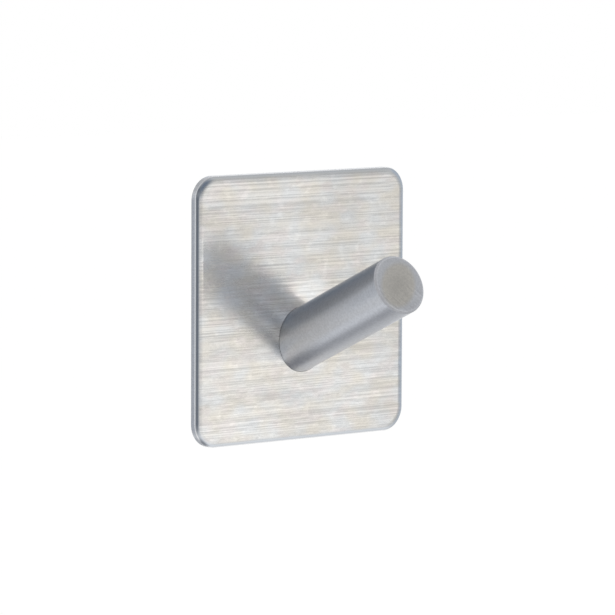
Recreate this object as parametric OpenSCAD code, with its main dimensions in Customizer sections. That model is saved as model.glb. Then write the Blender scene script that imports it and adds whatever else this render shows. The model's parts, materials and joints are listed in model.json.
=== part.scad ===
// Adhesive wall hook: a square steel plate with a round peg that leans upwards.
// Lengths are in millimetres and angles in degrees. The origin is the middle of the
// face that sticks to the wall. X runs along the wall, Z runs up, and -Y points out
// of the wall, the way the peg stands.

/* [Face plate] */
// Width of the plate
plate_w = 45; // [38:1:60]
// Height of the plate
plate_h = 45; // [38:1:60]
// Thickness of the sheet that the plate is stamped from
plate_t = 1.5; // [1.4:0.1:3]
// Radius of the plate's corners, seen from the front
corner_r = 4; // [2:0.5:8]
// Radius of the rolled front edge, as a stamping tool leaves it
edge_r = 2; // [1:0.1:2.5]
// How far the rolled edge comes down the plate's side
edge_drop = 0.5; // [0.2:0.1:0.8]

/* [Peg] */
// Diameter of the rod
peg_d = 10; // [9:0.5:14]
// Upward lean of the rod, counted from square to the plate
peg_tilt = 24; // [15:1:40]
// How far the middle of the rod's end stands out from the plate
peg_reach = 25; // [18:1:40]
// How far the middle of the foot sits below the middle of the plate
peg_drop = 5.6; // [0:0.1:8]
// Radius of the rounded rim at the rod's end
peg_rim_r = 0.5; // [0.2:0.1:1]

/* [Fixing screw] */
// Diameter of the thread
screw_d = 3; // [2.6:0.1:3.5]
// Diameter of the countersunk head
screw_head_d = 5.5; // [5:0.1:5.8]
// Length over all, with the head
screw_len = 8; // [6:1:11]
// Width of the hexagon socket across its flats
socket_w = 2; // [1.5:0.1:2.5]
// Depth of the hexagon socket
socket_depth = 0.9; // [0.6:0.1:1.1]
// Length of the bevel at the screw's point
point_bevel = 0.4; // [0.2:0.1:0.6]

/* [Locating pin] */
// Diameter of the pin that stops the peg from turning
pin_d = 1.5; // [1:0.1:1.8]
// How deep the pin goes into the peg
pin_in_peg = 2; // [1:0.1:3]
// Least wall left in the peg below the pin
pin_wall = 0.9; // [0.7:0.1:1.5]

/* [Adhesive pad] */
// How far the pad's edge lies inside the plate's edge
pad_inset = 1; // [0.5:0.1:3]
// Thickness of the foam core
core_t = 0.8; // [0.5:0.1:2]
// Thickness of each layer of adhesive
adhesive_t = 0.1; // [0.05:0.05:0.3]

/* [Clearances] */
// Gap all round the screw where it passes through the plate
screw_gap = 0.2; // [0.1:0.05:0.3]
// Gap between the screw's head and its countersink, and how far the head lies below the plate's back
head_gap = 0.05; // [0.02:0.01:0.1]
// Gap all round the screw in its tapped hole
thread_gap = 0.03; // [0.01:0.01:0.1]
// Depth of the tapped hole past the screw's point
tap_spare = 0.8; // [0.3:0.1:1.5]
// Gap all round the pin, and past both of its ends
pin_gap = 0.03; // [0.01:0.01:0.1]

/* [Hidden] */
$fn = 96;

// Distances out of the wall at which the layers start
core_back = adhesive_t;
core_front = core_back + core_t;
plate_back = core_front + adhesive_t;
plate_front = plate_back + plate_t;

// Width of the rolled edge, from the flat face to the plate's side
roll_w = sqrt(edge_r * edge_r - (edge_r - edge_drop) * (edge_r - edge_drop));

// The plate between its corners' centres
plate_core_w = plate_w - 2 * corner_r;
plate_core_h = plate_h - 2 * corner_r;

// The pad follows the plate's outline at a constant distance
pad_w = plate_w - 2 * pad_inset;
pad_h = plate_h - 2 * pad_inset;
pad_least_r = 0.5;
pad_corner_r = max(corner_r - pad_inset, pad_least_r);

// The rod from the middle of its foot to the middle of its end, and what the slanted foot takes below that
peg_r = peg_d / 2;
peg_len = peg_reach / cos(peg_tilt);
foot_len = peg_r * tan(peg_tilt);

// The screw stands square to the plate inside a rod that leans, so it starts above the foot's middle:
// the tapped hole then lies as far above the rod's axis where it starts as below it where it ends
screw_start = plate_back + head_gap;
tap_depth = screw_start + screw_len - plate_front + tap_spare;
screw_y = -peg_drop + tap_depth / 2 * tan(peg_tilt);
head_depth = (screw_head_d - screw_d) / 2;

// The countersink has a right angle, as the head has, with the gap measured square to the cone
sink_r = screw_head_d / 2 + head_gap * (1 + sqrt(2));
screw_hole_r = screw_d / 2 + screw_gap;
sink_depth = sink_r - screw_hole_r;

// The pin sits low in the foot, where the rod's lower side rises towards the pin's deep end
pin_hole_r = pin_d / 2 + pin_gap;
pin_hole_depth = pin_in_peg + pin_gap;
pin_y = -peg_drop - peg_r / cos(peg_tilt) + pin_hole_depth * tan(peg_tilt)
    + pin_wall / cos(peg_tilt) + pin_hole_r;
pin_start = plate_back + pin_gap;

// How far a cutting shape reaches past the face that it opens
cut_over = 1;

// Stands a shape that is drawn on the wall, with Z out of it, in the part's own frame
module on_wall(out) {
    rotate([90, 0, 0])
        translate([0, 0, out])
            children();
}

// A flat sheet with round corners, centred
module rounded_sheet(w, h, r, t) {
    linear_extrude(height = t) {
        square([w - 2 * r, h], center = true);
        square([w, h - 2 * r], center = true);
        for (x = [-1, 1], y = [-1, 1])
            translate([x * (w / 2 - r), y * (h / 2 - r)])
                circle(r);
    }
}

// Quarter of a disc, which fills the rounded corner of a section
module quarter_disc(r) {
    intersection() {
        circle(r);
        square(r);
    }
}

// Section through the plate's rim, from a corner's centre outwards, with its front edge rolled
module rim_section() {
    flat_w = corner_r - roll_w;
    square([flat_w, plate_t]);
    if (plate_t > edge_r)
        square([corner_r, plate_t - edge_r]);
    intersection() {
        translate([flat_w, plate_t - edge_r])
            circle(edge_r);
        translate([flat_w, 0])
            square([roll_w, plate_t + cut_over]);
    }
}

// The plate before it is drilled: a flat middle, a rim along each side and a turned rim at each corner
module plate_blank() {
    translate([-plate_core_w / 2, -plate_core_h / 2, 0])
        cube([plate_core_w, plate_core_h, plate_t]);
    for (side = [0:3]) {
        across = side % 2 == 0 ? plate_core_w : plate_core_h;
        along = side % 2 == 0 ? plate_core_h : plate_core_w;
        rotate([0, 0, 90 * side])
            translate([across / 2, 0, 0])
                rotate([90, 0, 0])
                    linear_extrude(height = along, center = true)
                        rim_section();
        rotate([0, 0, 90 * side])
            translate([across / 2, along / 2, 0])
                rotate_extrude(angle = 90)
                    rim_section();
    }
}

// Stamped steel plate with a countersunk hole for the screw and a small hole for the pin
module face_plate() {
    color("gainsboro")
        on_wall(plate_back)
            difference() {
                plate_blank();
                translate([0, screw_y, -cut_over])
                    cylinder(h = plate_t + 2 * cut_over, r = screw_hole_r);
                translate([0, screw_y, 0])
                    cylinder(h = sink_depth, r1 = sink_r, r2 = screw_hole_r);
                translate([0, pin_y, -cut_over])
                    cylinder(h = plate_t + 2 * cut_over, r = pin_hole_r);
            }
}

// The rod before its foot is cut: a cylinder along Z with a rounded rim at its far end
module rod_blank() {
    below = foot_len + cut_over;
    rotate_extrude() {
        translate([0, -below])
            square([peg_r, below + peg_len - peg_rim_r]);
        square([peg_r - peg_rim_r, peg_len]);
        translate([peg_r - peg_rim_r, peg_len - peg_rim_r])
            quarter_disc(peg_rim_r);
    }
}

// Leaning peg: its foot is sawn off along the plate's face, then drilled square to that face
module peg() {
    saw = 2 * peg_d;
    color("silver")
        on_wall(plate_front)
            difference() {
                translate([0, -peg_drop, 0])
                    rotate([-peg_tilt, 0, 0])
                        rod_blank();
                translate([-saw / 2, -peg_drop - saw / 2, -saw])
                    cube(saw);
                translate([0, screw_y, -cut_over])
                    cylinder(h = tap_depth + cut_over, r = screw_d / 2 + thread_gap);
                translate([0, pin_y, -cut_over])
                    cylinder(h = pin_hole_depth + cut_over, r = pin_hole_r);
            }
}

// Countersunk screw that pulls the peg's foot against the plate from behind
module peg_screw() {
    color("darkgray")
        on_wall(screw_start)
            translate([0, screw_y, 0])
                difference() {
                    rotate_extrude()
                        polygon([
                            [0, 0],
                            [screw_head_d / 2, 0],
                            [screw_d / 2, head_depth],
                            [screw_d / 2, screw_len - point_bevel],
                            [screw_d / 2 - point_bevel, screw_len],
                            [0, screw_len]
                        ]);
                    translate([0, 0, -cut_over])
                        cylinder(h = socket_depth + cut_over, d = socket_w / cos(30), $fn = 6);
                }
}

// Small dowel that keeps the peg from turning on its one screw
module locating_pin() {
    color("lightgray")
        on_wall(pin_start)
            translate([0, pin_y, 0])
                cylinder(h = plate_t - pin_gap + pin_in_peg, d = pin_d);
}

// One layer of the pad, which follows the plate's outline
module pad_layer(out, t) {
    on_wall(out)
        rounded_sheet(pad_w, pad_h, pad_corner_r, t);
}

// Film of adhesive between the foam and the plate
module plate_side_adhesive() {
    color("whitesmoke")
        pad_layer(core_front, adhesive_t);
}

// Foam that takes up the unevenness of the wall
module foam_core() {
    color("white")
        pad_layer(core_back, core_t);
}

// Film of adhesive that holds the hook on the wall
module wall_side_adhesive() {
    color("whitesmoke")
        pad_layer(0, adhesive_t);
}

face_plate();
peg();
peg_screw();
locating_pin();
plate_side_adhesive();
foam_core();
wall_side_adhesive();
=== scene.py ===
# %% [markdown]
# # An adhesive wall hook, dressed for its picture
# The hook is a square plate of brushed steel with a round steel peg that leans upwards.
# Its solids come from a CAD program and arrive here as a fixed frame, in metres:
# X runs along the wall, Z runs up, and -Y points out of the wall.
# Blender adds what CAD leaves out: the brushing, the sawn end of the peg, the soft pad
# behind the plate, and a small studio to look at it in.

# %% Load the frame
import json

import bpy
import numpy as np
from mathutils import Matrix, Vector


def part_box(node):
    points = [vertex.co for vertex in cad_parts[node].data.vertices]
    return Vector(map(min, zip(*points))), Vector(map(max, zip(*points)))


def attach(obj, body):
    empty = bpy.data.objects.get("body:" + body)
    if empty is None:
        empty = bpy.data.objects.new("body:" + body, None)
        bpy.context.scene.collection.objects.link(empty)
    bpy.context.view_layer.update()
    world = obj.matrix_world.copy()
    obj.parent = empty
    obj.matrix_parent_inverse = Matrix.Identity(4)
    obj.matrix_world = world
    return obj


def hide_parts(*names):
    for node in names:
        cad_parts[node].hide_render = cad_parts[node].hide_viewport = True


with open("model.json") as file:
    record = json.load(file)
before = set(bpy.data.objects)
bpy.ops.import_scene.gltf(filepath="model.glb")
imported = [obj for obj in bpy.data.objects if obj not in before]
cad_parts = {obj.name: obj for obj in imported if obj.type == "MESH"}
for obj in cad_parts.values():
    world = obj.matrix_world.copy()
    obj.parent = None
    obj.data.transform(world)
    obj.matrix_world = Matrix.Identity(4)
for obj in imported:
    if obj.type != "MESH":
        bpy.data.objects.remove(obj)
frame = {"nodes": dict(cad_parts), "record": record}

MM = 0.001
scene = bpy.context.scene
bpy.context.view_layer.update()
for name in sorted(frame["nodes"]):
    low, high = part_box(name)
    print(name, "is", [round((b - a) / MM, 2) for a, b in zip(low, high)], "mm")

# %% [markdown]
# ## Camera
# The picture was taken from a little to the left and a little above, with a long lens from
# about three quarters of a metre. Distance and lens have to be right together, because both
# set how much the plate's edges converge. One could turn the camera with angles on the
# object. Here its matrix is written down instead, because its columns are easy to name:
# right, up and back. A small roll about the back direction levels the plate as pictured.

# %% Camera
IMAGE_SIDE = 615
SENSOR = 36.0
FOCAL_PIXELS = 4480.0
DISTANCE = 0.753
CLIP_NEAR, CLIP_FAR = 0.01, 20.0
AIM = np.array([2.33, -1.0, -0.55]) * MM
AZIMUTH, ELEVATION, ROLL = np.radians([-39.6, 5.7, 0.25])


def add_object(name, data):
    """A new object that shows data, linked to the scene."""
    made = bpy.data.objects.new(name, data)
    scene.collection.objects.link(made)
    return made


outward = np.cos(ELEVATION)
back = np.array([np.sin(AZIMUTH) * outward, -np.cos(AZIMUTH) * outward, np.sin(ELEVATION)])
level = np.array([np.cos(AZIMUTH), np.sin(AZIMUTH), 0.0])
upright = np.cross(back, level)
right = np.cos(ROLL) * level + np.sin(ROLL) * upright
up = np.cos(ROLL) * upright - np.sin(ROLL) * level

lens = bpy.data.cameras.new("hook_camera")
lens.sensor_width = SENSOR
lens.lens = FOCAL_PIXELS / IMAGE_SIDE * SENSOR
lens.clip_start, lens.clip_end = CLIP_NEAR, CLIP_FAR
camera = add_object("hook_camera", lens)
placed = np.eye(4)
placed[:3] = np.column_stack([right, up, back, AIM + DISTANCE * back])
camera.matrix_world = Matrix(placed.tolist())
scene.camera = camera
print("camera at", np.round(placed[:3, 3], 4), "with a lens of", round(lens.lens, 1), "mm")

# %% [markdown]
# ## Helpers for node trees
# A material is a small graph. Clicking it together in the editor works too, but a script
# can be read again later. Each node is one call with its inputs in a dictionary: a plain
# value goes straight into the socket, and another node's output is linked to it.

# %% Node helpers
def add(tree, kind, sockets=None, **settings):
    """A new shader node. settings are its own choices, and sockets maps its inputs to plain
    values or to the outputs of other nodes."""
    made = tree.nodes.new("ShaderNode" + kind)
    for name, value in settings.items():
        setattr(made, name, value)
    for name, value in (sockets or {}).items():
        if isinstance(value, bpy.types.NodeSocket):
            tree.links.new(value, made.inputs[name])
        else:
            made.inputs[name].default_value = value
    return made


def calc(tree, operation, *values):
    """One sum on numbers, such as ADD, MULTIPLY or MAXIMUM."""
    return add(tree, "Math", dict(enumerate(values)), operation=operation).outputs[0]


def ramp(tree, value, start, end, low=0.0, high=1.0):
    """Smooth change from low to high while value goes from start to end, flat outside."""
    sockets = {"Value": value, "From Min": start, "From Max": end, "To Min": low, "To Max": high}
    return add(tree, "MapRange", sockets, interpolation_type="SMOOTHSTEP").outputs["Result"]


# %% Mixing helpers
def between(tree, factor, first, second):
    """A number between first and second by factor. A Mix node keeps numbers in its inputs
    2 and 3 and its output 0."""
    return add(tree, "Mix", {"Factor": factor, 2: first, 3: second}, data_type="FLOAT").outputs[0]


def mixed(tree, factor, first, second, way="MIX"):
    """A colour between first and second by factor. A Mix node keeps colours in its inputs
    6 and 7 and its output 2."""
    sockets = {"Factor": factor}
    for index, colour in ((6, first), (7, second)):
        linked = isinstance(colour, bpy.types.NodeSocket)
        sockets[index] = colour if linked else (*colour, 1.0)
    return add(tree, "Mix", sockets, data_type="RGBA", blend_type=way).outputs[2]


def shaded(tree, colour, level):
    """A colour made darker or lighter by a number, where 1 leaves it as it is."""
    grey = add(tree, "CombineColor", {0: level, 1: level, 2: level}).outputs[0]
    return mixed(tree, 1.0, colour, grey, "MULTIPLY")


# %% [markdown]
# ## A studio made of directions
# Steel has hardly any colour of its own: it shows the room. A room could be built from
# white and black cards, but every card is also a lamp or a shadow for the rest. So the room
# is painted on the sky dome by direction: greys by height first, one set in front of the
# hook and one behind it, then soft patches, each over the ones before it. A softbox fills
# the plate's face, a pale card stands at the left, a dim ceiling shades the peg's upper
# side, and a dark room round the camera draws the dark line inside the plate's left edge.

# %% Room by direction
FRONT_LEVELS = [(-1.0, 1.25), (-0.5, 0.80), (-0.1, 0.78), (0.25, 0.80), (0.6, 0.80), (0.9, 0.60)]
BACK_LEVELS = [(-1.0, 0.45), (-0.5, 0.85), (0.0, 0.90), (0.5, 0.60)]
BACK_START, BACK_FULL = 0.15, 0.40
# Each patch has a direction, its reach along X, Y and Z, and a colour.
PATCHES = {
    "softbox": ((0.55, -0.80, -0.15), (0.25, 0.45, 0.35), (1.01, 1.00, 0.98)),
    "right_wall": ((0.95, -0.35, 0.05), (0.25, 1.10, 1.00), (0.55, 0.60, 0.67)),
    "left_card": ((-0.95, -0.05, 0.25), (1.10, 1.10, 1.10), (1.14, 1.15, 1.17)),
    "left_back": ((-0.50, 0.85, -0.20), (0.65, 0.70, 0.55), (0.52, 0.54, 0.57)),
    "low_left": ((-0.30, 0.55, -0.80), (0.30, 0.65, 0.35), (0.84, 0.85, 0.87)),
    "low_right": ((0.35, 0.70, -0.65), (0.75, 0.30, 0.45), (0.55, 0.56, 0.58)),
    "dark_below": ((0.00, -0.25, -0.95), (0.55, 1.05, 0.50), (0.31, 0.32, 0.35)),
    "left_ceiling": ((-0.75, -0.45, 0.45), (0.50, 0.55, 0.50), (0.41, 0.42, 0.44)),
    "top_panel": ((0.65, 0.50, 0.55), (0.50, 0.75, 0.75), (0.80, 0.82, 0.86)),
    "right_ceiling": ((0.65, -0.55, 0.55), (0.55, 0.45, 0.20), (0.67, 0.66, 0.64)),
    "dim_ceiling": ((0.14, -0.85, 0.42), (0.62, 0.60, 0.58), (0.193, 0.23, 0.29)),
    "dark_room": ((-0.35, -0.90, 0.15), (0.38, 1.10, 0.88), (0.19, 0.21, 0.24)),
    "faint_wall": ((-0.36, -0.90, 0.24), (0.24, 0.50, 0.22), (0.34, 0.35, 0.37)),
}
print("room with", len(PATCHES), "patches")

# %% Room helpers
PATCH_CORE = 0.3

world = bpy.data.worlds.new("studio_dome")
scene.world = world
world.use_nodes = True
sky = world.node_tree
sky.nodes.clear()
looking = add(sky, "TexCoord").outputs["Generated"]
axes = add(sky, "SeparateXYZ", {0: looking}).outputs


def patch(centre, reach):
    """1 near a direction, fading to 0 where the way from it, counted in reaches, is 1 long."""
    unit = tuple(np.array(centre) / np.linalg.norm(centre))
    apart = add(sky, "VectorMath", {0: looking, 1: unit}, operation="SUBTRACT").outputs[0]
    counted = add(sky, "VectorMath", {0: apart, 1: reach}, operation="DIVIDE").outputs[0]
    length = add(sky, "VectorMath", {0: counted}, operation="LENGTH").outputs["Value"]
    return ramp(sky, length, PATCH_CORE, 1.0, 1.0, 0.0)


def heights(levels):
    """Grey by height on the dome: levels pairs the sine of the elevation with a brightness."""
    made = add(sky, "ValToRGB", {"Fac": calc(sky, "MULTIPLY_ADD", axes["Z"], 0.5, 0.5)})
    stops = made.color_ramp.elements
    while len(stops) < len(levels):
        stops.new(1.0)
    for stop, (height, grey) in zip(stops, levels):
        stop.position = 0.5 + 0.5 * height
        stop.color = (grey, grey, grey, 1.0)
    return made.outputs["Color"]


# %% Room
behind = ramp(sky, axes["Y"], BACK_START, BACK_FULL)
room = mixed(sky, behind, heights(FRONT_LEVELS), heights(BACK_LEVELS))
for centre, reach, colour in PATCHES.values():
    room = mixed(sky, patch(centre, reach), room, colour)
print("room painted with", len(sky.nodes), "nodes")

# %% [markdown]
# ## Who sees which dome
# The painted room is for mirrored rays only. Matt surfaces get one even light, so that
# their colours come out as written. The camera sees plain white, because the picture has a
# white background, and a white that is only seen adds no light to the steel.

# %% Dome
WHITE = (1.0, 1.0, 1.0)
PLAIN_LIGHT = (0.75, 0.75, 0.75)

path = add(sky, "LightPath").outputs
light = mixed(sky, path["Is Glossy Ray"], PLAIN_LIGHT, room)
seen = calc(sky, "MAXIMUM", path["Is Camera Ray"], path["Is Transmission Ray"])
background = add(sky, "Background", {"Color": mixed(sky, seen, light, WHITE), "Strength": 1.0})
sky.links.new(background.outputs[0], add(sky, "OutputWorld").inputs["Surface"])
print("dome with", len(sky.nodes), "nodes")

# %% [markdown]
# ## Floor and lamps
# The hook hangs in the air of the studio, as it would on a wall, so the pale floor lies
# well below it and only catches its soft shadow. To the camera the paper is white by a
# glow of its own, because more light on the floor would be more light on the steel too.
# Two large softboxes give the pad and the edges a direction to be lit from.

# %% Floor
FLOOR_Z = -0.20
FLOOR_HALF = 3.0
PAPER = (0.9, 0.9, 0.9)
PAPER_GLOW = 1.04
GLOW_SHARE = 0.9


def begin_material(name):
    """An empty material and its node tree."""
    material = bpy.data.materials.new(name)
    material.use_nodes = True
    material.node_tree.nodes.clear()
    return material, material.node_tree


def end_material(tree, shader):
    """Links the finished shader to the material's output."""
    tree.links.new(shader.outputs[0], add(tree, "OutputMaterial").inputs["Surface"])
    print("material with", len(tree.nodes), "nodes")


corners = np.array([[-1, -1], [1, -1], [1, 1], [-1, 1]]) * FLOOR_HALF
points = np.column_stack([corners, np.full(4, FLOOR_Z)])
floor_mesh = bpy.data.meshes.new("studio_floor")
floor_mesh.from_pydata(points.tolist(), [], [[0, 1, 2, 3]])
floor = add_object("studio_floor", floor_mesh)
floor.visible_glossy = False

paper, tree = begin_material("floor_paper")
lit = add(tree, "BsdfDiffuse", {"Color": (*PAPER, 1.0)})
glow = add(tree, "Emission", {"Color": (*WHITE, 1.0), "Strength": PAPER_GLOW})
share = calc(tree, "MULTIPLY", add(tree, "LightPath").outputs["Is Camera Ray"], GLOW_SHARE)
end_material(tree, add(tree, "MixShader", {0: share, 1: lit.outputs[0], 2: glow.outputs[0]}))
floor_mesh.materials.append(paper)

# %% Lamps
# Each lamp has a place, a width and height in metres, and a power in watts.
LAMPS = {
    "top_softbox": ((0.6, 0.3, 0.8), (0.6, 0.6), 0.9),
    "low_softbox": ((0.15, -0.33, -0.17), (0.35, 0.24), 0.06),
}


def softbox(name, place, size, watts):
    """A soft rectangular lamp at place that faces the hook. Its glow is its power over pi
    times its area."""
    lamp = bpy.data.lights.new(name, "AREA")
    lamp.shape = "RECTANGLE"
    lamp.size, lamp.size_y = size
    lamp.energy = watts
    facing = Vector(place).to_track_quat("Z", "Y").to_matrix().to_4x4()
    add_object(name, lamp).matrix_world = Matrix.Translation(place) @ facing
    print(name, "glows at", round(watts / (np.pi * size[0] * size[1]), 2))


for name, (place, size, watts) in LAMPS.items():
    softbox(name, place, size, watts)

# %% [markdown]
# ## Patterns on the steel
# Every pattern here is noise in the piece's own coordinates, counted in millimetres, so
# that a scale can be read as a real size. Stretching the noise along one axis turns spots
# into streaks. An image texture could show one real sheet, but noise has no seam, works
# at any distance and needs no file.

# %% Pattern helpers
NOISE_LOW, NOISE_HIGH = 0.3, 0.7


def in_millimetres(tree, turn=(0.0, 0.0, 0.0), shift=(0.0, 0.0, 0.0)):
    """Object coordinates counted in millimetres, then turned and moved."""
    sockets = {"Scale": (1 / MM, 1 / MM, 1 / MM), "Rotation": turn, "Location": shift}
    sockets["Vector"] = add(tree, "TexCoord").outputs["Object"]
    return add(tree, "Mapping", sockets).outputs[0]


def noise(tree, place, size, detail=2.0, start=0.0):
    """Smooth random pattern around 0.5, with features as large as size along each axis.
    Another start gives another part of the same endless pattern."""
    scale = tuple(1.0 / s for s in size)
    sockets = {"Vector": place, "Scale": scale, "Location": (start, start, start)}
    stretched = add(tree, "Mapping", sockets).outputs[0]
    return add(tree, "TexNoise", {"Vector": stretched, "Scale": 1.0, "Detail": detail}).outputs[0]


def swing(tree, pattern, low=0.0, high=1.0):
    """A noise's usual range, stretched to go from low to high."""
    return ramp(tree, pattern, NOISE_LOW, NOISE_HIGH, low, high)


def summed(tree, base, *parts):
    """A base plus patterns, each times its share."""
    total = base
    for pattern, share in parts:
        total = calc(tree, "MULTIPLY_ADD", pattern, share, total)
    return total


def dress(node, material):
    """Gives a CAD node its finish in the slots that it already has."""
    for held in frame["nodes"][node].material_slots:
        held.material = material
    print(node, "wears", material.name)


# %% [markdown]
# ## Where the peg stands
# Two finishes need the rod's place: the plate has painted shade in the seam round the foot, and
# the peg's own patterns follow its axis. The numbers could be typed again, but the imported record
# already keeps the rod's axis, a point on it and its radius, for things that hang there. The axis
# meets the plate's face in the middle of the foot, and the face cuts the slanted rod in an
# ellipse. How far the peg stands out, less what its rounded rim adds, gives its length.

# %% Rod
RIM_ROUND = 0.5
mount = next(m for m in frame["record"]["mounts"] if m["name"] == "hanging_peg")
rod_axis = np.array(mount["axis"])
rod_radius = mount["dims"]["r_mm"]
on_axis = np.array(mount["pos_m"]) / MM
face_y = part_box("face_plate")[0][1] / MM
foot_middle = on_axis + (face_y - on_axis[1]) / rod_axis[1] * rod_axis
foot_half = (rod_radius, rod_radius / -rod_axis[1])
peg_reach = face_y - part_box("peg")[0][1] / MM
rim_reach = RIM_ROUND + (rod_radius - RIM_ROUND) * rod_axis[2]
rod_length = (rim_reach - peg_reach) / rod_axis[1] + RIM_ROUND
rod_turn = -np.arccos(rod_axis[2])
rod_lean = 90 + np.degrees(rod_turn)
print("rod leans", round(rod_lean, 1), "degrees and is", round(rod_length, 2), "mm long")

# %% [markdown]
# ## Brushed lines
# The sheet is brushed level with a belt before it is stamped, so its face is covered in
# fine straight scratches of many lengths. One stretched noise would give lines that all run
# from edge to edge. So each set of long lines shows only where a cover, a rounder noise,
# lets it through, and the lines start and stop as scratches do. The same pattern later sets
# how bright the steel is, how much it blurs a reflection, and the slope that catches light.

# %% Brushed lines
# Each set has the size of its lines, the size of its cover, and its share.
LINE_SETS = {
    "long": ((200.0, 1.0, 0.26), (9.0, 1.0, 1.8), 0.60),
    "middle": ((140.0, 1.0, 0.21), (4.0, 1.0, 1.2), 0.50),
    "short": ((90.0, 1.0, 0.18), (1.6, 1.0, 0.7), 0.40),
}
SET_STEP = 3.0
COVER_START = 40.0
COVER_RANGE = (0.38, 0.62)
COVER_LEVELS = (0.05, 1.5)
SPECK_SIZE = (0.4, 1.0, 0.2)
SPECK_START = 17.0
SPECK_SHARE = 0.16

brushed, tree = begin_material("plate_steel")
place = in_millimetres(tree)
x, y, z = add(tree, "SeparateXYZ", {0: place}).outputs
streak = 0.5
for number, (line_size, cover_size, share) in enumerate(LINE_SETS.values()):
    start = SET_STEP * number
    lines = calc(tree, "SUBTRACT", noise(tree, place, line_size, 1.0, start), 0.5)
    cover = noise(tree, place, cover_size, 1.0, start + COVER_START)
    covered = calc(tree, "MULTIPLY", lines, ramp(tree, cover, *COVER_RANGE, *COVER_LEVELS))
    streak = calc(tree, "MULTIPLY_ADD", covered, share, streak)
speck = noise(tree, place, SPECK_SIZE, 1.0, SPECK_START)
streak = summed(tree, -SPECK_SHARE / 2, (streak, 1.0), (speck, SPECK_SHARE))
print("brushed with", len(LINE_SETS), "sets of lines")

# %% [markdown]
# ## Patches, wear and painted light on the plate
# Where the belt was fresh or worn the steel is lighter or darker, and painted shade darkens it
# slowly towards the right. A skin of oxide tints it warm, cool or reddish in soft patches. A
# painted highlight lightens a spot above the foot, which is also a little smoother, and a thin
# ring of painted shade lies in the seam round the foot. One drawing could hold all of this, but
# as separate numbers near 1, each shading the colour in turn, they stay easy to change one by one.

# %% Patches, wear and painted light
# Each pattern has its size in millimetres, its detail, and where in the noise it starts.
FACE_PATTERNS = {
    "cloud": ((8.0, 5.0, 4.5), 2.0, 21.0),
    "spot": ((1.9, 3.0, 1.2), 1.0, 27.0),
    "warmth": ((4.6, 3.0, 3.2), 1.0, 31.0),
    "blush": ((3.5, 3.0, 2.2), 1.0, 37.0),
}
WARM_STEEL = (0.718, 0.690, 0.638)
COOL_STEEL = (0.702, 0.716, 0.727)
RED_STEEL = (0.726, 0.683, 0.672)
PLATE_SIDES = (-22.0, 22.0)
# The spot above the foot is a painted highlight, and it is a little smoother too.
HIGHLIGHT_MIDDLE = (1.2, 2.4)
HIGHLIGHT_HALF = (6.0, 3.4)
HIGHLIGHT_CORE = 0.25
# A thin ring of painted shade lies in the seam round the foot.
SEAM_SHADE_END = 1.028


def from_middle(middle, half):
    """How far a point of the plate lies from a middle, counted in the half sizes of an
    ellipse: the root of the sum of the squares of both ways, each over its half size."""
    across = calc(tree, "DIVIDE", calc(tree, "SUBTRACT", x, middle[0]), half[0])
    upwards = calc(tree, "DIVIDE", calc(tree, "SUBTRACT", z, middle[1]), half[1])
    squares = [calc(tree, "POWER", way, 2.0) for way in (across, upwards)]
    return calc(tree, "SQRT", calc(tree, "ADD", *squares))


face = {name: noise(tree, place, *how) for name, how in FACE_PATTERNS.items()}
from_foot = from_middle((foot_middle[0], foot_middle[2]), foot_half)
from_highlight = from_middle(HIGHLIGHT_MIDDLE, HIGHLIGHT_HALF)
cool = ramp(tree, face["warmth"], 0.27, 0.73)
red = ramp(tree, face["blush"], 0.45, 0.70, 0.0, 0.6)
face_colour = mixed(tree, red, mixed(tree, cool, WARM_STEEL, COOL_STEEL), RED_STEEL)
face_levels = {
    "lines": ramp(tree, streak, 0.33, 0.67, 0.895, 1.105),
    "clouds": swing(tree, face["cloud"], 0.96, 1.04),
    "light spots": ramp(tree, face["spot"], 0.56, 0.72, 1.0, 1.09),
    # painted shade: the plate darkens from left to right
    "painted shade towards the right": ramp(tree, x, *PLATE_SIDES, 1.02, 0.955),
    # painted highlight in a spot above the foot
    "painted highlight above the foot": ramp(tree, from_highlight, HIGHLIGHT_CORE, 1.0, 1.17, 1.0),
    # painted shade in the seam round the foot
    "painted shade in the foot's seam": ramp(tree, from_foot, 1.0, SEAM_SHADE_END, 0.40, 1.0),
}
for worn in face_levels.values():
    face_colour = shaded(tree, face_colour, worn)
print("face shaded by", ", ".join(face_levels))

# %% [markdown]
# ## Edge, side and back of the plate
# The stamping tool rolls the front edge over and leaves it smooth and a little blue. The
# roll ends in a sharp corner, the arris, with a painted highlight along it and a painted dark
# reflection just inside it. The side and back keep the plain grain of the mill. Separate
# materials would need cuts in the mesh, so here the height Y decides which finish a point
# wears. A Bevel node breaks the arris by a hair for the light, and leaves the mesh as it is.

# %% Edge of the plate
# Depths are in millimetres, behind the face for the roll and from the arris for the others.
EDGE_DROP = 0.5
ROLL_START, ROLL_FULL = 0.04, 0.25
ROLL_BLUE = (0.65, 0.69, 0.74)
ROLL_SHARE = 0.85
# A painted dark reflection lies on the roll just inside the arris.
DARK_REFLECTION_START, DARK_REFLECTION_FULL = -0.30, -0.14
DARK_REFLECTION_LEVEL = 0.82
MILL_SIZE = (0.18, 1.2, 0.18)
MILL_START = 43.0
MILL_STEEL = (0.63, 0.65, 0.685)
MILL_LEVELS = (0.91, 1.09)
ARRIS_HALF = 0.05
# The arris gets a painted highlight, a lighter steel along its corner.
GLINT_END, GLINT_FULL = 0.14, 0.06
ARRIS_HIGHLIGHT = (0.77, 0.78, 0.80)

arris_y = face_y + EDGE_DROP
roll = (face_y + ROLL_START, face_y + ROLL_FULL)
rolled = ramp(tree, y, *roll)
roll_share = calc(tree, "MULTIPLY", rolled, ROLL_SHARE)
front = mixed(tree, roll_share, face_colour, ROLL_BLUE)
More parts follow.
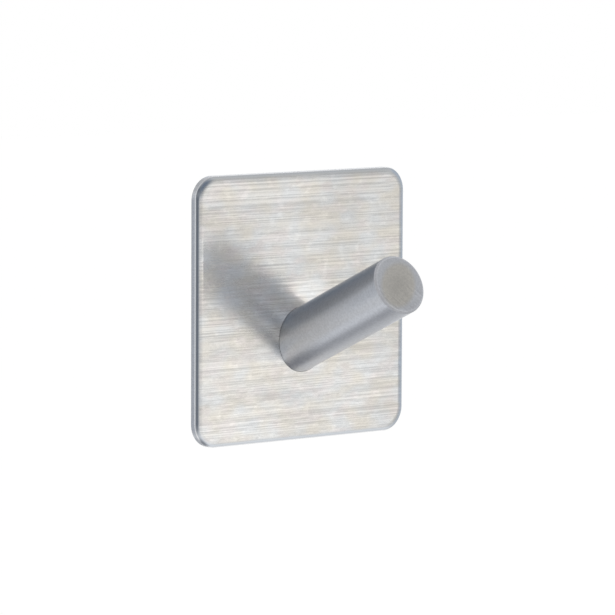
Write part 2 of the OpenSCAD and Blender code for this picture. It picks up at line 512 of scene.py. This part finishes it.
# The darker band on the roll is a painted dark reflection.
painted_dark_reflection = ramp(tree, y, arris_y + DARK_REFLECTION_START, arris_y + DARK_REFLECTION_FULL, 1.0, DARK_REFLECTION_LEVEL)
front = shaded(tree, front, painted_dark_reflection)
mill = noise(tree, place, MILL_SIZE, 2.0, MILL_START)
sheet = shaded(tree, MILL_STEEL, swing(tree, mill, *MILL_LEVELS))
in_front = ramp(tree, y, arris_y + ARRIS_HALF, arris_y - ARRIS_HALF)
from_arris = calc(tree, "ABSOLUTE", calc(tree, "SUBTRACT", y, arris_y))
colour = mixed(tree, in_front, sheet, front)
# painted highlight along the arris
colour = mixed(tree, ramp(tree, from_arris, GLINT_END, GLINT_FULL), colour, ARRIS_HIGHLIGHT)
print("arris lies", round(-arris_y, 2), "mm out of the wall")

# %% Shine of the plate
FACE_ROUGHNESS = (0.30, 0.20)
ROLL_ROUGHNESS = 0.13
MILL_ROUGHNESS = (0.24, 0.16)
HIGHLIGHT_SMOOTHER = 0.7
ARRIS_ROUND = 0.15
BUMP_HEIGHT = 0.02 * MM
FACE_BUMP, ROLL_BUMP = 0.3, 0.05

smoother = ramp(tree, from_highlight, HIGHLIGHT_CORE, 1.0, HIGHLIGHT_SMOOTHER, 1.0)
face_rough = calc(tree, "MULTIPLY", swing(tree, streak, *FACE_ROUGHNESS), smoother)
front_rough = between(tree, rolled, face_rough, ROLL_ROUGHNESS)
rough = between(tree, in_front, swing(tree, mill, *MILL_ROUGHNESS), front_rough)
broken = add(tree, "Bevel", {"Radius": ARRIS_ROUND * MM}, samples=8).outputs[0]
bump = add(tree, "Bump", {
    "Height": streak, "Strength": ramp(tree, y, *roll, FACE_BUMP, ROLL_BUMP),
    "Distance": BUMP_HEIGHT, "Normal": broken,
})
end_material(tree, add(tree, "BsdfPrincipled", {
    "Base Color": colour, "Roughness": rough, "Normal": bump.outputs[0],
    "Metallic": 1.0, "Anisotropic": 0.4, "Anisotropic Rotation": 0.25,
}))
dress("face_plate", brushed)

# %% [markdown]
# ## Satin peg
# The peg is a drawn rod, tumbled to a satin grain with faint rings across its length. The
# finish follows the rod and not the wall, so its pattern is turned into the rod's own frame
# first: there Z runs along the rod from the middle of its foot. Its rim was rounded and
# tumbled until it is nearly matt, a pale band with little shine of metal.

# %% Satin peg
SIDE_STEEL = (0.63, 0.65, 0.69)
RIM_STEEL = (0.50, 0.51, 0.54)
RIM_BAND = (0.6, 0.35)
GRAIN_SIZE = (0.35, 0.35, 0.35)
RING_SIZE = (6.0, 6.0, 0.22)
RING_START = 4.0
GRAIN_SHARE, RING_SHARE = 0.75, 0.25


def near_end(far, near):
    """0 further than far from the rod's end, counted along the rod, and 1 closer than near."""
    return ramp(tree, along, rod_length - far, rod_length - near)


satin, tree = begin_material("peg_steel")
turned = np.array(Matrix.Rotation(rod_turn, 3, "X")) @ foot_middle
place = in_millimetres(tree, (float(rod_turn), 0.0, 0.0), tuple(float(-v) for v in turned))
x, y, along = add(tree, "SeparateXYZ", {0: place}).outputs
grain = noise(tree, place, GRAIN_SIZE, 2.0)
rings = noise(tree, place, RING_SIZE, 2.0, RING_START)
pattern = summed(tree, 0.0, (grain, GRAIN_SHARE), (rings, RING_SHARE))
rim = near_end(*RIM_BAND)
side_colour = mixed(tree, rim, SIDE_STEEL, RIM_STEEL)
print("rim starts", round(rod_length - RIM_BAND[0], 2), "mm up the rod")

# %% [markdown]
# ## Sawn end
# The rod was sawn off, which leaves fine lines across its end on a slant, plainer towards
# its lower side. The middle has a warm tint, and a cooler ring is left round it. The lines
# could be cut as grooves, but they are too shallow to show an edge of their own, so they
# only shade the colour. The warm middle is an oval, in a frame turned along the lines.

# %% Sawn end
SAW_ANGLE = float(np.radians(45.0))
SAW_SIZE = (5.0, 0.3, 5.0)
SAW_START = 8.0
SAW_RANGE = (1.0, -1.5)
SAW_LEVELS = (0.1, 0.4)
OVAL_MIDDLE = (-0.2, -0.4)
OVAL_HALF = (3.2, 4.3, 4.3)
OVAL_STEEL = (0.575, 0.554, 0.516)
OVAL_LEVELS = (0.94, 1.04)
RING_STEEL = (0.612, 0.624, 0.656)
END_BAND = (0.15, 0.03)
GRAIN_LEVELS = (0.92, 1.08)

crossed = add(tree, "VectorRotate", {"Vector": place, "Angle": SAW_ANGLE}, rotation_type="Z_AXIS")
crossed = crossed.outputs[0]
oval = (*OVAL_MIDDLE, rod_length)
shifted = add(tree, "VectorMath", {0: crossed, 1: oval}, operation="SUBTRACT").outputs[0]
counted = add(tree, "VectorMath", {0: shifted, 1: OVAL_HALF}, operation="DIVIDE").outputs[0]
off_middle = add(tree, "VectorMath", {0: counted}, operation="LENGTH").outputs["Value"]
warm = shaded(tree, OVAL_STEEL, ramp(tree, off_middle, 0.0, 0.9, *OVAL_LEVELS))
end_colour = mixed(tree, ramp(tree, off_middle, 0.82, 1.15), warm, RING_STEEL)
saw = calc(tree, "SUBTRACT", noise(tree, crossed, SAW_SIZE, 1.0, SAW_START), 0.5)
sawn = calc(tree, "MULTIPLY", saw, ramp(tree, y, *SAW_RANGE, *SAW_LEVELS))
end_colour = shaded(tree, end_colour, calc(tree, "ADD", sawn, 1.0))
colour = mixed(tree, near_end(*END_BAND), side_colour, end_colour)
colour = shaded(tree, colour, swing(tree, pattern, *GRAIN_LEVELS))
print("finish of the sawn end is", END_BAND[0], "mm deep")

# %% Shine of the peg
FLAT_BAND = (0.012, 0.002)
SIDE_ROUGHNESS, RIM_ROUGHNESS, END_ROUGHNESS = 0.28, 0.70, 0.36
RIM_METAL = 0.3
PEG_BUMP = 0.15

flat_end = near_end(*FLAT_BAND)
side_rough = between(tree, rim, SIDE_ROUGHNESS, RIM_ROUGHNESS)
rough = between(tree, flat_end, side_rough, END_ROUGHNESS)
matt = calc(tree, "MULTIPLY", rim, calc(tree, "SUBTRACT", 1.0, flat_end))
bump = add(tree, "Bump", {"Height": pattern, "Strength": PEG_BUMP, "Distance": BUMP_HEIGHT})
end_material(tree, add(tree, "BsdfPrincipled", {
    "Base Color": colour, "Roughness": rough, "Normal": bump.outputs[0],
    "Metallic": ramp(tree, matt, 0.0, 1.0, 1.0, RIM_METAL),
}))
dress("peg", satin)

# %% [markdown]
# ## Screw and pin
# Nobody sees them once the hook is assembled, but the part may be taken apart. The screw
# is turned and the pin is ground, so both carry fine rings across their axis, which stands
# square to the wall. One function makes both finishes.

# %% Screw and pin
TURNED_LEVELS = (0.86, 1.12)
TURNED_BUMP = 0.3
POLISH = 0.1


def turned_steel(name, colour, ring_width, roughness):
    """Plain steel with fine rings along Y, which is the axis of the screw and the pin."""
    material, tree = begin_material(name)
    rings = noise(tree, in_millimetres(tree), (4.0, ring_width, 4.0), 2.0)
    bump = add(tree, "Bump", {"Height": rings, "Strength": TURNED_BUMP, "Distance": BUMP_HEIGHT})
    end_material(tree, add(tree, "BsdfPrincipled", {
        "Base Color": shaded(tree, colour, swing(tree, rings, *TURNED_LEVELS)),
        "Roughness": swing(tree, rings, roughness, roughness - POLISH),
        "Normal": bump.outputs[0], "Metallic": 1.0,
    }))
    return material


dress("peg_screw", turned_steel("screw_steel", (0.58, 0.58, 0.60), 0.12, 0.38))
dress("locating_pin", turned_steel("pin_steel", (0.62, 0.62, 0.63), 0.05, 0.28))

# %% [markdown]
# ## Outline of the pad
# The pad is a tape of closed-cell foam between two films of adhesive, die-cut to the
# plate's outline. A box with a bevel would do from far away, but a cut foam edge bulges a
# little and shows its opened cells. So each layer is a surface on a grid of two
# parameters. The first goes round the outline, and comes here.

# %% Outline of the pad
PAD_CORNER = 3.0 * MM
LEAST_TURN, LEAST_RUN = 6, 2


def rounded_square(half, corner, spacing):
    """Points and outward directions round a square with round corners.
    A quarter circle about a corner's centre is followed by the straight run to the next
    corner, and that quarter of the outline is turned by 0, 90, 180 and 270 degrees."""
    inner = half - corner
    turn_count = max(LEAST_TURN, round(corner * np.pi / 2 / spacing))
    run_count = max(LEAST_RUN, round(2 * inner / spacing))
    turn = np.linspace(0, np.pi / 2, turn_count, endpoint=False)
    run = np.linspace(inner, -inner, run_count, endpoint=False)
    round_part = np.column_stack([np.cos(turn), np.sin(turn)])
    straight_part = np.column_stack([run, np.full_like(run, half)])
    points = np.concatenate([inner + corner * round_part, straight_part])
    facing = np.concatenate([round_part, np.tile([0.0, 1.0], (len(run), 1))])
    cosine, sine = np.array([1, 0, -1, 0]), np.array([0, 1, 0, -1])
    turns = np.stack([np.stack([cosine, -sine], -1), np.stack([sine, cosine], -1)], -2)
    return [np.einsum("kij,nj->kni", turns, part).reshape(-1, 2) for part in (points, facing)]


pad_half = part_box("foam_core")[1][0]
print("pad is", round(2 * pad_half / MM, 2), "mm wide, with corners of", PAD_CORNER / MM, "mm")

# %% [markdown]
# ## Layers of the pad
# The second parameter goes from the middle of the wall side, out over the edge, and back to
# the middle of the plate side. The foam bulges at its edge and is pitted by opened cells.
# The film on the wall side has soft dents. A cloth simulation could swell the pad, but a
# thin tape that is pressed flat keeps its form, so a formula is enough.

# %% Surface of a layer
WAVE_X, WAVE_Z = 0.9, 0.7


def layer_surface(low, high, spacing, rings, rows, swell, pits, waves, seed):
    """Points and faces of one closed layer that fills the box from low to high.
    A point is the outline shrunk by a factor towards the middle, then pushed outwards at the
    edge: swell bulges the edge as a parabola across its height, and pits dent it by a seeded
    random pattern. waves is the depth of the dents in both faces, a product of two sines."""
    outline, facing = rounded_square(high[0], PAD_CORNER, spacing)
    count = len(outline)
    grow = np.linspace(0, 1, rings + 1)[1:]
    across = np.linspace(0, 1, rows + 2)[1:-1]
    shrink = np.concatenate([grow, np.ones(rows), grow[::-1]])
    depth = np.concatenate([np.zeros(rings), across, np.ones(rings)])
    random = np.random.default_rng(seed).standard_normal((rows, count))
    soft = (random + np.roll(random, 1, 1) + np.roll(random, 1, 0)) / 3
    bulge = swell * 4 * (across * (1 - across))[:, None]
    push = np.zeros((len(depth), count))
    push[rings:rings + rows] = bulge - pits * np.maximum(soft, 0)
    flat = outline[None] * shrink[:, None, None] + facing[None] * push[:, :, None]
    inward = np.concatenate([np.ones(rings), np.zeros(rows), -np.ones(rings)])[:, None]
    sines = np.sin(flat[..., 0] / MM * WAVE_X) * np.sin(flat[..., 1] / MM * WAVE_Z)
    dent = waves * (0.5 + 0.5 * sines)
    height = high[1] + (low[1] - high[1]) * depth[:, None] - inward * dent
    grid = np.stack([flat[..., 0], height, flat[..., 1]], -1).reshape(-1, 3)
    poles = np.array([[0.0, high[1] - waves / 2, 0.0], [0.0, low[1] + waves / 2, 0.0]])
    index = np.arange(len(grid)).reshape(-1, count)
    beside = np.roll(index, -1, 1)
    quads = np.stack([index[:-1], beside[:-1], beside[1:], index[1:]], -1).reshape(-1, 4)
    wall_fan = np.column_stack([np.full(count, len(grid)), beside[0], index[0]])
    plate_fan = np.column_stack([np.full(count, len(grid) + 1), index[-1], beside[-1]])
    faces = quads.tolist() + wall_fan.tolist() + plate_fan.tolist()
    return np.concatenate([grid, poles]).tolist(), faces


# %% Layers of the pad
SHARP_ANGLE = np.radians(40)
FOAM = dict(spacing=0.1 * MM, rings=2, rows=12, swell=0.05 * MM, pits=0.04 * MM, waves=0.0, seed=8)
WALL = dict(spacing=0.4 * MM, rings=40, rows=3, swell=0.02 * MM, pits=0.0, waves=0.008 * MM, seed=9)
PLATE = dict(spacing=0.4 * MM, rings=4, rows=3, swell=0.02 * MM, pits=0.0, waves=0.0, seed=10)


def pad_layer(name, node, shape):
    """One layer as a piece in the space of its CAD solid, which it replaces."""
    low, high = (np.array(corner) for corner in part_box(node))
    points, faces = layer_surface(low, high, **shape)
    mesh = bpy.data.meshes.new(name)
    mesh.from_pydata(points, [], faces)
    mesh.polygons.foreach_set("use_smooth", np.ones(len(faces), bool))
    mesh.set_sharp_from_angle(angle=SHARP_ANGLE)
    made = add_object(name, mesh)
    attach(made, "root")
    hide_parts(node)
    print(name, "has", len(points), "points and", len(faces), "faces")
    return made


foam_pad = pad_layer("foam_pad", "foam_core", FOAM)
wall_film = pad_layer("wall_film", "wall_side_adhesive", WALL)
plate_film = pad_layer("plate_film", "plate_side_adhesive", PLATE)

# %% [markdown]
# ## Foam
# Closed-cell foam is a froth of bubbles a tenth of a millimetre wide. Their walls are too
# many to model, so a cell pattern sets the dents and the darker spots, over two close
# tones in soft patches.

# %% Foam
CELL = 0.14
CELL_RANGE = (0.1, 0.7)
CELL_DARK = 0.84
TONE_SIZE = (3.0, 3.0, 3.0)
PALE_FOAM = (0.90, 0.90, 0.88)
DULL_FOAM = (0.86, 0.86, 0.83)
FOAM_ROUGHNESS = 0.85
FOAM_BUMP = 0.8
PAD_BUMP_HEIGHT = 0.05 * MM

foam, tree = begin_material("foam")
place = in_millimetres(tree)
cells = add(tree, "TexVoronoi", {"Vector": place, "Scale": 1 / CELL}).outputs["Distance"]
tone = mixed(tree, swing(tree, noise(tree, place, TONE_SIZE)), PALE_FOAM, DULL_FOAM)
bump = add(tree, "Bump", {"Height": cells, "Strength": FOAM_BUMP, "Distance": PAD_BUMP_HEIGHT})
end_material(tree, add(tree, "BsdfPrincipled", {
    "Base Color": shaded(tree, tone, ramp(tree, cells, *CELL_RANGE, 1.0, CELL_DARK)),
    "Roughness": FOAM_ROUGHNESS, "Normal": bump.outputs[0],
}))
foam_pad.data.materials.append(foam)

# %% [markdown]
# ## Adhesive film
# The adhesive is a milky film with a wet shine that comes and goes. The peeled liner leaves
# a faint lattice in it, small bubbles of air stay below it, and dust sticks along its edge.
# The lattice is two rows of ribs on a slant: the sine of the way across the ribs is near
# zero on each of them. The bubbles are cells of many sizes, each with a round middle.

# %% Lattice and bubbles
LATTICE = 1.6
RIB_WIDTH = 0.24
PEEL_SIZE = (0.5, 0.5, 0.5)
WET_SIZE = (3.5, 3.5, 3.5)
WET_START = 3.0
BUBBLE_CELL = 1.3
BUBBLE_SIZE = 0.26
BUBBLE_RIM = (-0.04, 0.02)
DUST_WIDTH = 1.6
DUST_RANGE = (0.3, 0.6)

film, tree = begin_material("adhesive")
place = in_millimetres(tree, (0.0, float(np.pi / 4), 0.0))
slanted = add(tree, "SeparateXYZ", {0: place}).outputs
ways = [calc(tree, "MULTIPLY", slanted[axis], np.pi / LATTICE) for axis in "XZ"]
ribs = [calc(tree, "ABSOLUTE", calc(tree, "SINE", way)) for way in ways]
lattice = ramp(tree, calc(tree, "MINIMUM", *ribs), 0.0, RIB_WIDTH, 1.0, 0.0)
peel = noise(tree, place, PEEL_SIZE, 3.0)
wet = noise(tree, place, WET_SIZE, 2.0, WET_START)
froth = add(tree, "TexVoronoi", {"Vector": place, "Scale": 1 / BUBBLE_CELL}).outputs
bubble_size = calc(tree, "MULTIPLY", froth["Color"], BUBBLE_SIZE)
past_bubble = calc(tree, "SUBTRACT", froth["Distance"], bubble_size)
bubble = ramp(tree, past_bubble, *BUBBLE_RIM, 1.0, 0.0)
upright_place = add(tree, "SeparateXYZ", {0: in_millimetres(tree)}).outputs
to_edge = calc(tree, "MAXIMUM", *[calc(tree, "ABSOLUTE", upright_place[axis]) for axis in "XZ"])
pad_edge = pad_half / MM
near_edge = ramp(tree, to_edge, pad_edge - DUST_WIDTH, pad_edge)
dust = calc(tree, "MULTIPLY", near_edge, ramp(tree, peel, *DUST_RANGE))
widest = 2 * BUBBLE_SIZE * BUBBLE_CELL
print("lattice of", LATTICE, "mm and bubbles up to", round(widest, 2), "mm wide")

# %% Adhesive film
WET_FILM = (0.87, 0.875, 0.855)
DRY_FILM = (0.83, 0.84, 0.83)
WET_RANGE = (0.35, 0.65)
WET_ROUGHNESS, DRY_ROUGHNESS = 0.16, 0.38
FILM_BUMP = 0.7

tone = mixed(tree, ramp(tree, wet, *WET_RANGE), WET_FILM, DRY_FILM)
marks = summed(tree, 1.0, (lattice, -0.13), (bubble, -0.07), (dust, -0.14))
relief = summed(tree, 0.0, (lattice, -0.8), (peel, 0.25), (bubble, 0.7))
bump = add(tree, "Bump", {"Height": relief, "Strength": FILM_BUMP, "Distance": PAD_BUMP_HEIGHT})
end_material(tree, add(tree, "BsdfPrincipled", {
    "Base Color": shaded(tree, tone, marks),
    "Roughness": ramp(tree, wet, *WET_RANGE, WET_ROUGHNESS, DRY_ROUGHNESS),
    "Normal": bump.outputs[0],
}))
wall_film.data.materials.append(film)
plate_film.data.materials.append(film)

# %% [markdown]
# ## Close the scene
# The view transform is plain, so that a colour comes out as it is written.

# %% Close the scene
scene.view_settings.view_transform = "Standard"
